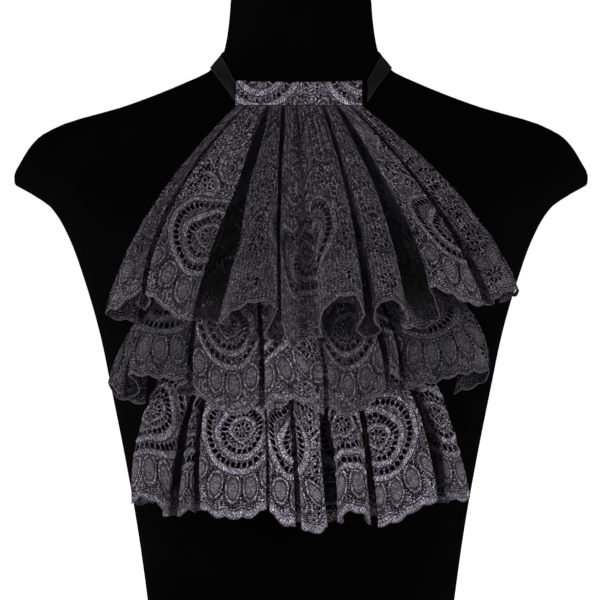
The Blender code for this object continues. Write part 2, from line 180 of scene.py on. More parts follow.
def formPoint(turn, height, lift):
    # a point this far straight out from the torso
    roundIt = formSkin(turn + 0.5, height) - formSkin(turn - 0.5, height)
    upIt = formSkin(turn, height + 0.5) - formSkin(turn, height - 0.5)
    outwards = np.cross(roundIt, upIt)
    outwards /= np.linalg.norm(outwards, axis=-1, keepdims=True)
    return formSkin(turn, height) + outwards * np.asarray(lift)[..., None]


def formFront(x, height):
    power = formShape["roundness"]
    share = np.clip(np.abs(x) / formSize(height, "halfWidth"), 0, 1)
    return formSize(height, "front") * (1 - share**power) ** (1 / power)


def chest(x, height):
    front = formSize(np.maximum(height, formShape["fullestChest"]), "front")
    fall = pleatShape["sideFall"] * (np.abs(x) / pleatShape["sideReach"]) ** pleatShape["sidePower"]
    return np.maximum(front - fall, formFront(x, height))


def hungPoint(x, height, depth):
    return np.stack([x, -(chest(x, height) + depth), height], axis=-1)


def meshObject(name, points, faces, material):
    mesh = bpy.data.meshes.new(name)
    mesh.from_pydata((np.asarray(points).reshape(-1, 3) * mm).tolist(), [], faces)
    mesh.validate()
    mesh.shade_smooth()
    mesh.materials.append(material)
    made = bpy.data.objects.new(name, mesh)
    bpy.context.scene.collection.objects.link(made)
    return made


def gridFaces(rows, columns, closed=False):
    r, c = np.meshgrid(np.arange(rows - 1), np.arange(columns if closed else columns - 1), indexing="ij")
    beside = (c + 1) % columns
    corners = np.stack([r * columns + c, r * columns + beside,
                        (r + 1) * columns + beside, (r + 1) * columns + c], axis=-1)
    return corners.reshape(-1, 4).tolist()


def addMap(made, name, places):
    # places holds two lengths in millimetres for each vertex
    layer = made.data.uv_layers.new(name=name)
    corner = np.empty(len(made.data.loops), np.int32)
    made.data.loops.foreach_get("vertex_index", corner)
    lengths = (np.asarray(places) * mm).astype(np.float32)
    layer.data.foreach_set("uv", lengths.reshape(-1, 2)[corner].ravel())


def putOnBody(made, node=None):
    # every piece rides the one body, and some take the place of a solid
    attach(made, "root")
    if node:
        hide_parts(node)


def laceMesh(name, points, faces, places, node=None, **numbers):
    # a piece of lace, with its places on the drawing, its painted valley shade, its relief and painted face
    # shade, and its petals
    made = meshObject(name, points, faces, blackLace)
    addMap(made, "lace", places)
    for label, values in numbers.items():
        layer = made.data.attributes.new(label, "FLOAT", "POINT")
        each = np.broadcast_to(np.ravel(values), len(made.data.vertices))
        layer.data.foreach_set("value", each.astype(np.float32))
    putOnBody(made, node)
    return made


# shader maths: a socket that reads as a number
class Num:
    def __init__(self, graph, socket):
        self.graph = graph
        self.socket = socket

    def __add__(self, other):
        return self.graph.maths("ADD", self, other)

    def __radd__(self, other):
        return self.graph.maths("ADD", other, self)

    def __sub__(self, other):
        return self.graph.maths("SUBTRACT", self, other)

    def __rsub__(self, other):
        return self.graph.maths("SUBTRACT", other, self)

    def __mul__(self, other):
        return self.graph.maths("MULTIPLY", self, other)

    def __rmul__(self, other):
        return self.graph.maths("MULTIPLY", other, self)

    def __truediv__(self, other):
        return self.graph.maths("DIVIDE", self, other)

    def __abs__(self):
        return self.graph.maths("ABSOLUTE", self)


class Graph:
    def __init__(self, owner):
        # owner is a new material or world
        owner.use_nodes = True
        self.owner = owner
        self.tree = owner.node_tree
        self.tree.nodes.clear()

    def node(self, kind, settings=None, sockets=None):
        made = self.tree.nodes.new("ShaderNode" + kind)
        for name, value in (settings or {}).items():
            setattr(made, name, value)
        for name, value in (sockets or {}).items():
            self.plug(made.inputs[name], value)
        return made

    def plug(self, socket, value):
        if isinstance(value, Num):
            self.tree.links.new(value.socket, socket)
        elif isinstance(value, bpy.types.NodeSocket):
            self.tree.links.new(value, socket)
        else:
            socket.default_value = value

    def maths(self, operation, *values, clamp=False):
        made = self.node("Math", {"operation": operation, "use_clamp": clamp}, dict(enumerate(values)))
        return Num(self, made.outputs[0])

    def chain(self, operation, values):
        result = values[0]
        for value in values[1:]:
            result = self.maths(operation, result, value)
        return result

    def least(self, *values):
        return self.chain("MINIMUM", values)

    def most(self, *values):
        return self.chain("MAXIMUM", values)

    def fract(self, a):
        return self.maths("FRACT", a)

    def sine(self, a):
        return self.maths("SINE", a)

    def power(self, a, b):
        return self.maths("POWER", a, b)

    def angle(self, a, b):
        return self.maths("ARCTAN2", a, b)

    def clip(self, a):
        return self.maths("ADD", a, 0.0, clamp=True)

    def far(self, a, b):
        return self.maths("SQRT", a * a + b * b)

    def ramp(self, value, low, high, bottom=0.0, top=1.0):
        # bottom at low, top at high, with low and high either way round
        if low > high:
            low, high, bottom, top = high, low, top, bottom
        made = self.node("MapRange", {"interpolation_type": "SMOOTHSTEP"}, {
            "Value": value, "From Min": low, "From Max": high, "To Min": bottom, "To Max": top})
        return Num(self, made.outputs["Result"])

    def inside(self, gap, soft=0.22):
        # 1 where a signed distance is negative
        return self.ramp(gap, soft, -soft)

    def between(self, gap, low, high, soft=0.15):
        return self.ramp(gap, low - soft, low + soft) * self.ramp(gap, high + soft, high - soft)

    def vector(self, x, y, z=0.0):
        return self.node("CombineXYZ", None, {0: x, 1: y, 2: z}).outputs[0]

    def parts(self, vector):
        made = self.node("SeparateXYZ", None, {0: vector})
        return [Num(self, socket) for socket in made.outputs]

    def attribute(self, name):
        return Num(self, self.node("Attribute", {"attribute_name": name}).outputs["Fac"])

    def millimetres(self, uvMap):
        # the two places that a map gives, in millimetres
        u, v, _ = self.parts(self.node("UVMap", {"uv_map": uvMap}).outputs[0])
        return u * 1000.0, v * 1000.0

    def noise(self, vector, scale, detail=1.0):
        made = self.node("TexNoise", None, {"Vector": vector, "Scale": scale, "Detail": detail})
        return Num(self, made.outputs["Fac"])

    def noiseParts(self, vector, scale):
        # two noises that differ, for moving a place sideways and upwards
        made = self.node("TexNoise", None, {"Vector": vector, "Scale": scale, "Detail": 1.0})
        return self.parts(made.outputs["Color"])[:2]

    def blend(self, factor, first, second, kind="MIX"):
        # between two colours
        made = self.node("Mix", {"data_type": "RGBA", "blend_type": kind}, {0: factor, 6: first, 7: second})
        return made.outputs[2]

    def shades(self, colour, level):
        return self.blend(1.0, colour, self.vector(level, level, level), "MULTIPLY")

    def bump(self, height, distance, strength=1.0):
        return self.node("Bump", None, {"Height": height, "Distance": distance,
                                        "Strength": strength}).outputs[0]

    def finish(self, links, fixed):
        # links vary over the surface, fixed are the same all over it
        made = self.node("BsdfPrincipled", None, {**links, **fixed})
        self.node("OutputMaterial", None, {"Surface": made.outputs[0]})
        return self.owner


def tinted(level, tint=(1.0, 0.88, 1.12)):
    return (*(level * part for part in tint), 1.0)


def ringMeasures(p, dv, above, below, far):
    # how far out of the medallion a place is, by each ring's own outline: p is its distance from
    # the middle line, dv its height over the middle, and above and below are the two parts of dv
    return {
        "outer": far(p, dv * 0.96),
        "inner": far(p + above * 0.3, above * 0.76 + below * 0.9),
        "heart": far(p - below * 0.5, above * 0.95 + below * 0.86),
    }


# the lace's own drawing: u along the hem, v up from it, in millimetres
laceDesign = {
    # the medallion's holes: which ring's outline they follow, radius, how many, their radius,
    # how far they stretch outwards, shift
    "medallionHoles": (
        ("outer", 25.0, 38, 1.6, 1.25, 0.0), ("inner", 14.2, 24, 1.45, 1.1, 0.0),
        ("heart", 11.7, 22, 0.95, 1.1, 0.5), ("heart", 4.7, 9, 1.1, 1.3, 0.0),
    ),
    # centre from the medallion's middle line, radius of a ring of holes, how many, their radius, core
    "flowers": (
        (39, 14, 4.8, 8, 1.25, 2.2), (39, 46, 4.7, 7, 1.45, 1.6), (39, 64, 2.7, 4, 1.15, 0),
        (0, 124, 6.0, 10, 1.35, 3.0), (17, 101, 3.6, 6, 1.15, 1.0), (39, 97, 3.2, 5, 1.2, 0.9),
        (14.5, 166, 3.8, 6, 1.25, 1.3), (27, 131, 2.5, 4, 1.0, 0), (39, 150, 4.8, 8, 1.3, 2.0),
        (39, 118, 2.6, 4, 1.1, 0), (0, 98, 2.2, 3, 0.9, 0), (0, 150, 2.8, 5, 1.0, 0.8),
    ),
    # centre, radius, half width, which way it opens in degrees, how wide it opens
    "scrolls": (
        (17, 101, 8.0, 1.5, -35, 0.55), (0, 124, 15.5, 1.5, 90, 0.3), (39, 64, 6.4, 1.1, -90, 0.5),
        (39, 46, 8.0, 0.4, 0, 2.0), (14.5, 166, 8.2, 1.3, 20, 0.6), (39, 150, 9.8, 1.2, -90, 0.4),
        (0, 183, 10, 1.3, -90, 0.2), (31, 118, 6.5, 1.0, 120, 0.2),
    ),
    # centre, half width, half length, turn
    "leaves": ((39, 81, 4.6, 10, 0), (29, 113, 3.4, 7, -38), (9, 148, 3.2, 7.5, 30), (30, 172, 3.6, 9, -15),
               (28, 97, 2.0, 3.0, 20)),
    "petals": ((6.6, 18.3, 5.5, 11.2, 4), (19.8, 21.0, 5.5, 11.4, 15), (32.8, 27.3, 5.1, 11.0, 30)),
    # the net's cells to a millimetre, and how far the drawing and the net wander
    "cellsAcross": 0.37, "cellsUp": 0.58, "wander": 1.5, "crinkleAcross": 1.4, "crinkleUp": 1.1,
    "stitchPitch": 2.2, "clothPitch": 1.7, "knitPitch": 1.9, "dotPitch": 1.9,
    "leafHoles": 0.85, "petalHoles": 0.5,
}
# the lace's tones; some of them set painted shade and light: in the valleys, on shaded faces and towards the
# seam
laceTones = {
    "thread": 0.165, "cell": 0.06, "cellLeast": 0.003, "knit": 0.6, "cloth": 0.08, "clothShade": 0.04,
    "clothThreads": 0.03, "braid": 0.185, "stitches": 0.12, "cord": 0.1, "rim": 0.07,
    "dark": 0.85, "fold": 0.88, "darkestFace": 0.08, "relief": 0.78, "upper": 1.3,
}


def laceMaterial():
    g = Graph(bpy.data.materials.new("black lace"))
    u, v = g.millimetres("lace")
    wide = lace["repeat"]
    plane = g.vector(u, v)
    swayU, swayV = g.noiseParts(plane, 0.085)
    drawnU = u + (swayU - 0.5) * laceDesign["wander"]
    drawnV = v + (swayV - 0.5) * laceDesign["wander"]
    p = abs(g.fract(drawnU / wide + 0.5) - 0.5) * wide
    dv = drawnV - lace["medallion"]
    folded = g.vector(p, drawnV)

    def fromCentre(x, y):
        # a place as seen from a motif's centre, which may lie on the repeat's edge
        return (p - x if x < wide / 2 else wide / 2 - p), drawnV - y

    def ovalGap(x, y, halfWide, halfLong, turn, hole):
        # the signed distance from an oval, and from the small holes round it
        mapped = g.node("Mapping", {"vector_type": "TEXTURE"}, {
            "Vector": folded, "Location": (x, y, 0), "Rotation": (0, 0, math.radians(turn)),
            "Scale": (halfWide, halfLong, 1)}).outputs[0]
        length = g.node("VectorMath", {"operation": "LENGTH"}, {0: mapped}).outputs["Value"]
        gap = (Num(g, length) - 1.0) * halfWide
        sideways, upwards, _ = g.parts(mapped)
        edgeLength = math.pi * (halfWide + halfLong + 3)
        count = round(edgeLength / (hole * 3.8))
        along = (g.fract(g.angle(upwards, sideways) * (count / (2 * math.pi))) - 0.5) * (edgeLength / count)
        return gap, g.far(along, (gap - 1.6) / 1.4) - hole

    def holesOnRing(away, turn, radius, count, hole, stretch=1.0, shift=0.0):
        along = (g.fract(turn * (count / (2 * math.pi)) + shift) - 0.5) * (2 * math.pi * radius / count)
        return g.far(along, (away - radius) / stretch) - hole

    # the medallion and its rings
    measures = ringMeasures(p, dv, g.most(dv, 0.0), g.least(dv, 0.0), g.far)
    outer = measures["outer"]
    heart = measures["heart"]
    offOuter, offInner, offHeart = (abs(measures[kind] - radius) for kind, radius in lace["rings"].items())
    turn = g.angle(p, 0.0 - dv)
    edgeGap = lace["medallionEdge"] - outer
    inMedallion = g.ramp(edgeGap, 0.0, 0.4)
    braidGap = g.least(offOuter - g.ramp(dv, 18, -6, 1.25, 2.05), offInner - 2.1,
                       offHeart - 1.35, heart - 1.3)
    holeGap = g.least(*(holesOnRing(measures[kind], turn, *ring)
                        for kind, *ring in laceDesign["medallionHoles"]))

    # flowers, scrolls, leaves and petals on the ground round it
    motifGap = 50.0
    openGap = 50.0
    for x, y, radius, count, hole, core in laceDesign["flowers"]:
        across, up = fromCentre(x, y)
        away = g.far(across, up)
        openGap = g.least(openGap, holesOnRing(away, g.angle(across, up), radius, count, hole))
        if core:
            motifGap = g.least(motifGap, away - core)
    for x, y, radius, half, opens, wideOpen in laceDesign["scrolls"]:
        across, up = fromCentre(x, y)
        away = g.far(across, up)
        way = math.radians(opens)
        facing = (across * math.cos(way) + up * math.sin(way)) - away * wideOpen
        motifGap = g.least(motifGap, g.most(abs(away - radius) - half, facing))
        lined = radius + half + 1.7
        beside = holesOnRing(away, g.angle(across, up), lined, round(2 * math.pi * lined / 3.2), 0.95, 1.4)
        openGap = g.least(openGap, g.most(beside, facing))
    leafGap = 50.0
    for leaf in laceDesign["leaves"]:
        gap, beside = ovalGap(*leaf, laceDesign["leafHoles"])
        leafGap = g.least(leafGap, gap)
        openGap = g.least(openGap, beside)
    petalGap = 50.0
    dottedGap = 50.0
    for petal in laceDesign["petals"]:
        gap, beside = ovalGap(*petal, laceDesign["petalHoles"])
        petalGap = g.least(petalGap, gap)
        dottedGap = g.least(dottedGap, g.most(beside, 0.6 - petalGap))
    motifGap = g.most(motifGap, edgeGap)
    openGap = g.most(openGap, edgeGap + 0.8)
    petalGap = g.most(petalGap, edgeGap + 0.4)
    dottedGap = g.most(dottedGap, edgeGap + 0.6)
    leafGap = g.most(leafGap, edgeGap + 0.9)

    # the hem's braid follows its lobes, and is slight on the quiet faces
    fold = g.attribute("fold")
    relief = g.attribute("relief")
    petals = g.attribute("petals")
    raised = g.power(relief, 1.4)
    lobes = g.power(abs(g.sine(u * (math.pi / lace["lobe"]))), 0.8) * lace["lobeDepth"]
    swell = g.maths("COSINE", u * (math.pi / wide))
    edge = v + lobes + swell * swell * lace["scallopDepth"]
    hemGap = edge - 1.8 - raised * 4.0
    braidGap = g.least(braidGap, motifGap, hemGap)
    holeGap = g.least(holeGap, openGap)

    braid = g.inside(braidGap)
    noBraid = 1.0 - braid
    hole = g.inside(holeGap) * noBraid
    rim = g.between(holeGap, 0.15, 0.8) * noBraid
    petal = g.inside(petalGap + 1.0) * noBraid * petals
    leaf = g.inside(leafGap + 0.8) * noBraid
    cord = g.most(g.between(petalGap, -0.6, 0.0) * petals, g.between(leafGap, -0.5, 0.1) * 0.7,
                  g.between(hemGap, 1.3, 1.9) * 0.7, g.between(braidGap, 1.0, 1.4) * 0.6) * noBraid
    petalLines = g.most(g.between(petalGap, -1.9, -0.95), g.between(petalGap, 0.3, 1.2)) * petals
    # the dark lines beside the braids are painted shadow of their relief; those along the petals and leaves
    # are the lace's own outlines
    dark = g.most(g.between(braidGap, 0.15, 0.85), petalLines,
                  g.between(leafGap, -1.0, -0.6)) * (1.0 - cord * 0.7)
    dotU = (g.fract(u / laceDesign["dotPitch"]) - 0.5) * laceDesign["dotPitch"]
    dots = g.inside(g.far(dotU, hemGap - 2.9) - 0.5)
    dotted = g.inside(dottedGap) * (1.0 - g.most(braid, petal)) * petals

    # threads: slanting stitches on the braids, a crinkled net with open and filled cells elsewhere
    rounds = g.ramp(heart, 11.2, 12.4, 29, 60) + g.ramp(outer, 23.0, 24.0, 0, 36)
    wound = g.sine(turn * rounds + g.least(offOuter, offInner, offHeart) * 2.2)
    stitchRun = u + abs(edge - 2.6 * raised) * 0.7
    slanting = g.sine(stitchRun * (2 * math.pi / laceDesign["stitchPitch"]))
    overBraid = slanting + (wound - slanting) * inMedallion
    laid = g.sine((v * 0.75 + p * 0.66) * (2 * math.pi / laceDesign["clothPitch"]))
    crinkleU, crinkleV = g.noiseParts(plane, 0.7)
    cellPlace = g.vector((drawnU + crinkleU * laceDesign["crinkleAcross"]) * laceDesign["cellsAcross"],
                         (drawnV + crinkleV * laceDesign["crinkleUp"]) * laceDesign["cellsUp"])
    cellLook = {"Vector": cellPlace, "Scale": 1.0, "Randomness": 0.62}
    cells = g.node("TexVoronoi", {"voronoi_dimensions": "2D"}, cellLook)
    edges = g.node("TexVoronoi", {"voronoi_dimensions": "2D", "feature": "DISTANCE_TO_EDGE"}, cellLook)
    openness, shade, _ = g.parts(cells.outputs["Color"])
    thread = g.ramp(Num(g, edges.outputs["Distance"]), 0.22, 0.13)
    inRings = g.inside(g.most(outer - 28.0, 2.0 - g.least(offOuter, offInner)))
    clear = g.ramp(openness + (g.noise(plane, 0.11) - 0.5) * 2.2 - inRings * 0.4, 0.48, 0.54)
    knitRun = v + crinkleV * 2.0 + abs(g.fract(u / 3.4) - 0.5) * 3.0
    knit = g.sine(knitRun * (2 * math.pi / laceDesign["knitPitch"]))
    netHole = clear * (1.0 - thread) * (1.0 - g.most(braid, petal, cord))
    # painted glints: random bright specks in the colour stand for the threads' glints
    speckle = g.node("TexVoronoi", {"voronoi_dimensions": "2D"}, {"Vector": plane, "Scale": 0.8})
    glint = g.parts(speckle.outputs["Color"])[0]
    patch = g.noise(plane, 0.055, 2.0)

    tones = laceTones
    cloth = g.clip(petal + leaf * 0.35) * (relief * 0.7 + 0.35)
    ground = thread * tones["thread"] + (1.0 - thread) * (shade * shade * tones["cell"] + tones["cellLeast"])
    ground = ground * (knit * tones["knit"] + 1.0) * (1.0 - inRings * 0.5)
    clothTone = laid * tones["clothThreads"] + shade * tones["clothShade"] + tones["cloth"]
    braidTone = overBraid * tones["stitches"] + tones["braid"]
    tone = ground + (clothTone - ground) * cloth
    tone = tone + (cord * tones["cord"] + rim * tones["rim"]) * (0.4 + relief * 0.6)
    tone = tone + (braidTone - tone) * braid * (0.12 + raised * 0.88)
    # painted glints, softer on the cloth and with brighter peaks on the braids
    spark = glint * glint * 2.0 + 0.26
    spark = spark + (glint * 1.3 + 0.35 - spark) * cloth
    spark = spark + (glint * glint * 1.9 + 0.38 - spark) * braid
    tone = tone * spark * (0.7 + patch * 0.65)
    # painted shade: darker along the dark lines and in the middle of the valleys between the faces
    tone = tone * (1.0 - dark * tones["dark"]) * (1.0 - fold * tones["fold"])
    # painted shade: each face is darkened by its relief factor, which stands for how much light it gets as
    # well as how far its pattern stands out
    tone = tone * (tones["darkestFace"] + g.power(relief, 1.5) * tones["relief"])
    # painted light: the lace is painted lighter towards the seam
    tone = tone * g.ramp(v, 40, 150, 1.0, tones["upper"])
    gaps = g.most(hole, netHole * 0.95, dots * 0.9, dotted)
    height = (braid * 0.75 + cord * 0.4 + cloth * 0.3 + overBraid * braid * 0.25 + laid * cloth * 0.12
              + thread * 0.3 + glint * 0.2 - dark * 0.2)
    return g.finish(
        {"Base Color": g.shades(tinted(1.0), tone), "Roughness": 0.55 - braid * 0.13,
         "Normal": g.bump(height, 0.0012, 0.9), "Alpha": 1.0 - gaps},
        {"Specular IOR Level": 0.22})


def formMaterial():
    g = Graph(bpy.data.materials.new("black jersey"))
    place = g.node("TexCoord").outputs["Object"]
    lint = g.noise(place, 900.0, 2.0)
    cloud = g.clip((g.noise(place, 14.0, 3.0) - 0.35) * 1.2)
    tint = (1, 1, 1.05)
    colour = g.blend(cloud, tinted(0.0005, tint), tinted(0.0012, tint))
    return g.finish({"Base Color": colour, "Normal": g.bump(lint, 0.0004, 0.6)},
                    {"Roughness": 0.95, "Specular IOR Level": 0.01})


def plainMaterial(name, level, rough):
    g = Graph(bpy.data.materials.new(name))
    x, y, z = g.parts(g.node("TexCoord").outputs["Object"])
    weave = g.sine(x * 6000.0 + y * 2500.0) * g.sine(z * 7000.0)
    colour = g.blend(weave * 0.5 + 0.5, tinted(level * 0.8), tinted(level * 1.2))
    return g.finish({"Base Color": colour, "Normal": g.bump(weave, 0.0002, 0.5)},
                    {"Roughness": rough, "Specular IOR Level": 0.4})


def pleatData(ruffle):
    table = np.array(ruffle["pleats"], float)
    return {name: table[:, i] for i, name in enumerate(pleatColumns)}


def pleatLine(pleats, side, level):
    return (pleats[side + "Seam"] * (1 - level) * (1 - 2 * level)
            + pleats[side + "Mid"] * 4 * level * (1 - level)
            + pleats[side + "Hem"] * level * (2 * level - 1))


def grown(seam, hem, level, power):
    return seam + (hem - seam) * level**power


def turnedSide(side, edge, front, level, hem, inwards):
    width, deep, low = side
    reach = inwards * width * level
    depth = grown(pleatShape["seamValley"], deep, level, pleatShape["sideBloom"])
    return [(edge + reach, depth, low),
            (edge + reach * pleatShape["returnCurl"], (depth + front) / 2, (low + hem) / 2)]


def ruffleSection(ruffle, level):
    # the folded edge at a level from 0, seam, to 1, hem: x, depth and hem height
    pleats = pleatData(ruffle)
    s = pleatShape
    left = pleatLine(pleats, "left", level)
    right = pleatLine(pleats, "right", level)
    # the folds are drawn together part of the way down
    drawn = s["closing"] * math.exp(-((level - s["closingLevel"]) / s["closingReach"]) ** 2) / 2
    closed = drawn * np.maximum(left[1:] - right[:-1] - s["leastGap"], 0)
    left[1:] -= closed
    right[:-1] += closed
    front = grown(s["seamFront"], pleats["front"], level, s["frontBloom"])
    last = len(left) - 1
    beside = (front[:-1] + front[1:]) / 2
    hemGap = (pleats["front"][:-1] + pleats["front"][1:]) / 2 - pleats["valley"][:-1]
    gap = grown(s["seamFront"] - s["seamValley"], hemGap, level, pleats["fall"][:-1])
    valley = np.maximum(beside - gap, s["seamValley"])
    points = turnedSide(ruffle["sideLeft"], left[0], front[0], level, pleats["hemLeft"][0], 1)
    for i in range(len(left)):
        width = right[i] - left[i]
        drop = s["edgeDrop"] * (front[i] - valley[min(i, last - 1)])
        dropBefore = s["edgeDrop"] * (front[i] - valley[max(i - 1, 0)])
        points.append((left[i], front[i] - dropBefore, pleats["hemLeft"][i]))
        tilt = s["hemTilt"] * (pleats["hemLeft"][i] - pleats["hemRight"][i])
        points.append((left[i] + s["shoulder"] * width, front[i], pleats["hemMiddle"][i] + tilt))
        points.append((right[i] - s["shoulder"] * width, front[i], pleats["hemMiddle"][i] - tilt))
        points.append((right[i], front[i] - drop, pleats["hemRight"][i]))
        if i == last:
            break
        folded = s["tuck"] * level * np.clip(gap[i] / s["tuckGap"], 0, 1)
        deep = valley[i] + s["tuckDepth"] * (front[i] - valley[i])
        deepBeside = valley[i] + s["tuckDepth"] * (front[i + 1] - valley[i])
        low = pleats["hemValley"][i]
        points.append((right[i] - folded * width, deep,
                       pleats["hemRight"][i] + s["tuckHem"] * (low - pleats["hemRight"][i])))
        points.append(((right[i] + left[i + 1]) / 2, valley[i], low))
        points.append((left[i + 1] + folded * (right[i + 1] - left[i + 1]), deepBeside,
                       pleats["hemLeft"][i + 1] + s["tuckHem"] * (low - pleats["hemLeft"][i + 1])))
    end = turnedSide(ruffle["sideRight"], right[-1], front[-1], level, pleats["hemRight"][-1], -1)
    return np.array(points + end[::-1])


def laceAcross(run, marks, middles):
    # how far along the lace each point of a row is: true on the faces and down the folds' sides,
    # with what is left over taken up at the bottom of each valley
    starts, ends = marks
    result = np.empty_like(run)
    for a, b, c in zip(starts, ends, middles):
        result[a:b + 1] = run[a:b + 1] - (run[a] + run[b]) / 2 + c
    result[:starts[0]] = result[starts[0]] - (run[starts[0]] - run[:starts[0]])
    result[ends[-1]:] = result[ends[-1]] + (run[ends[-1]:] - run[ends[-1]])
    for b, a in zip(ends[:-1], starts[1:]):
        reach = run[a] - run[b]
        t = (run[b:a + 1] - run[b]) / reach
        spare = result[a] - result[b] - reach
        room = 1 - (1 - pleatShape["takenUp"]) * min(abs(spare) / reach / 0.6, 1)
        taken = np.clip((t - 0.5) / room + 0.5, 0, 1)
        result[b:a + 1] = result[b] + reach * t + spare * taken * taken * (3 - 2 * taken)
    return result


def ruffleGrid(ruffle):
    s = pleatShape
    rng = np.random.default_rng(s["seed"])
    pleats = pleatData(ruffle)
    hemLine = ruffleSection(ruffle, 1.0)
    knots = np.concatenate([[0], np.cumsum(np.hypot(*np.diff(hemLine[:, :2], axis=0).T))])
    at = np.linspace(0, knots[-1], ruffle["columns"])
    steps = np.linspace(0, 1, ruffle["rows"])
    levels = 1 - (1 - steps) ** s["rowBloom"]
    hem = smooth(at, knots, hemLine[:, 2])
    smoothRows = []
    for level in levels:
        section = ruffleSection(ruffle, level)
        x = smooth(at, knots, section[:, 0])
        depth = smooth(at, knots, section[:, 1])
        height = ruffle["seam"] + (hem - ruffle["seam"]) * level
        smoothRows.append(np.stack([x, depth, height], axis=-1))
    flatRows = np.array(smoothRows)
    points = hungPoint(flatRows[..., 0], flatRows[..., 2], flatRows[..., 1])

    count = len(pleats["front"])
    faceStart, faceEnd, pleatPoints = 2, 5, 7  # places among the section's points
    starts = [int(np.searchsorted(at, knots[faceStart + pleatPoints * i])) for i in range(count)]
    ends = [int(np.searchsorted(at, knots[faceEnd + pleatPoints * i])) for i in range(count)]
    stride = np.linalg.norm(np.diff(points, axis=1) * (1, 1, s["lean"]), axis=-1)
    run = np.concatenate([np.zeros((len(levels), 1)), np.cumsum(stride, axis=1)], axis=1)
    across = np.array([laceAcross(row, (starts, ends), pleats["laceMiddle"]) for row in run])
    drop = np.linalg.norm(np.diff(points, axis=0), axis=-1)
    up = np.concatenate([np.cumsum(drop[::-1], axis=0)[::-1], np.zeros((1, len(at)))])

    # small gathers below the seam, soft creases further down
    gathers = np.sin(2 * math.pi * run[0] / s["gatherPitch"] + np.sin(at / 23.0) * 1.6)
    fade = np.interp(levels, (0, 0.06, 0.2, 0.5, 1), (0.35, 1, 0.75, 0.25, 0.1))[:, None]
    strength = 0.6 + 0.4 * np.sin(at / 17.0 + 1.3)
    move = s["gatherDepth"] * fade * gathers * strength
    for middle in rng.uniform(0, knots[-1], s["creases"]):
        width = rng.uniform(5, 11)
        slant = rng.uniform(-14, 14)
        size = rng.uniform(-1, 0.7) * s["creaseDepth"]
        start, end = np.sort(rng.uniform(0.05, 1.1, 2))
        line = middle + slant * levels[:, None]
        fadeIn = np.clip((levels - start) / 0.15, 0, 1) * np.clip((end + 0.25 - levels) / 0.2, 0, 1)
        move = move + size * fadeIn[:, None] * np.exp(-((at[None, :] - line) / width) ** 2)
    depth = flatRows[..., 1] + move * np.clip(levels * 14, 0.25, 1)[:, None]
    depth = np.maximum(depth, s["leastDepth"])

    # lobes and scallops along the hem
    lobe = lace["lobeDepth"] * np.abs(np.sin(math.pi * across / lace["lobe"])) ** 0.8
    scallop = lace["scallopDepth"] * np.cos(math.pi * across / lace["repeat"]) ** 2
    reach = np.clip(1 - up / lace["borderReach"], 0, 1) ** 1.5
    border = (lobe + scallop) * reach
    height = flatRows[..., 2] - border
    points = hungPoint(flatRows[..., 0], height, depth)
    middles = [(at[a] + at[b]) / 2 for a, b in zip(starts, ends)]
    relief = np.interp(at, middles, pleats["relief"])
    petals = np.interp(at, middles, pleats["petals"])
    # painted shade: each valley between two faces is darkened most in its middle and more the deeper it is,
    # less near the hem
    fold = np.zeros(len(at))
    gaps = (pleats["front"][:-1] + pleats["front"][1:]) / 2 - pleats["valley"][:-1]
    for b, a, gap in zip(ends[:-1], starts[1:], gaps):
        t = (np.arange(b, a + 1) - b) / (a - b)
        fold[b:a + 1] = np.sin(math.pi * t) * np.clip((gap - 6) / 9, 0, 1)
    fold = fold * np.clip(0.35 + up / 30, 0, 1)
    return {"points": points, "across": across, "up": up - border, "starts": starts, "ends": ends,
            "fold": fold, "relief": np.broadcast_to(relief, up.shape),
            "petals": np.broadcast_to(petals, up.shape)}


def makeRuffle(name):
    grid = ruffleGrid(ruffles[name])
    points = grid["points"][::-1]
    places = np.stack([grid["across"], grid["up"]], axis=-1)[::-1]
    numbers = {label: grid[label][::-1] for label in ("fold", "relief", "petals")}
    faces = gridFaces(*points.shape[:2])
    grid["object"] = laceMesh(name + "_lace", points, faces, places, name, **numbers)
    print("ruffle", name)
    return grid


print("materials")
blackLace = laceMaterial()
blackJersey = formMaterial()

print("torso")
formTop = formTable[-1, 0]
heights = np.unique(np.concatenate([np.arange(0, formTop, formShape["rowStep"]), formTable[:, 0],
                                    formTop - np.array([0.6, 1.5, 2.4])]))
turns = np.arange(formShape["sides"]) * 360 / formShape["sides"]
skin = formSkin(turns[None, :], heights[:, None])
sides = formShape["sides"]
caps = [list(range(sides - 1, -1, -1)), list(range(len(heights) * sides - sides, len(heights) * sides))]
torso = meshObject("torso", skin, gridFaces(len(heights), sides, closed=True) + caps, blackJersey)
putOnBody(torso, "dress_form")

print("ruffles")
grids = {name: makeRuffle(name) for name in ruffles}

print("raised braids")
braids = {
    # each ring's half width, its steps round, and its section: where the points are and how high
    "halfWidths": {"outer": 1.9, "inner": 1.9, "heart": 1.2},
    "steps": 132, "across": (-1.0, -0.6, 0.0, 0.6, 1.0), "rise": (0.05, 0.5, 0.7, 0.5, 0.05),
    # how badly a place may miss its point on the cloth, and how many columns it may use past a face
    "furthest": 1.2, "foldReach": 5,
}


def ringShape(kind, turn):
    # a medallion's ring of size 1 in this direction, turn 0 pointing down at the hem
    p = np.abs(np.sin(turn))
    dv = -np.cos(turn)
    away = ringMeasures(p, dv, np.maximum(dv, 0), np.minimum(dv, 0), np.hypot)[kind]
    return np.sin(turn) / away, dv / away


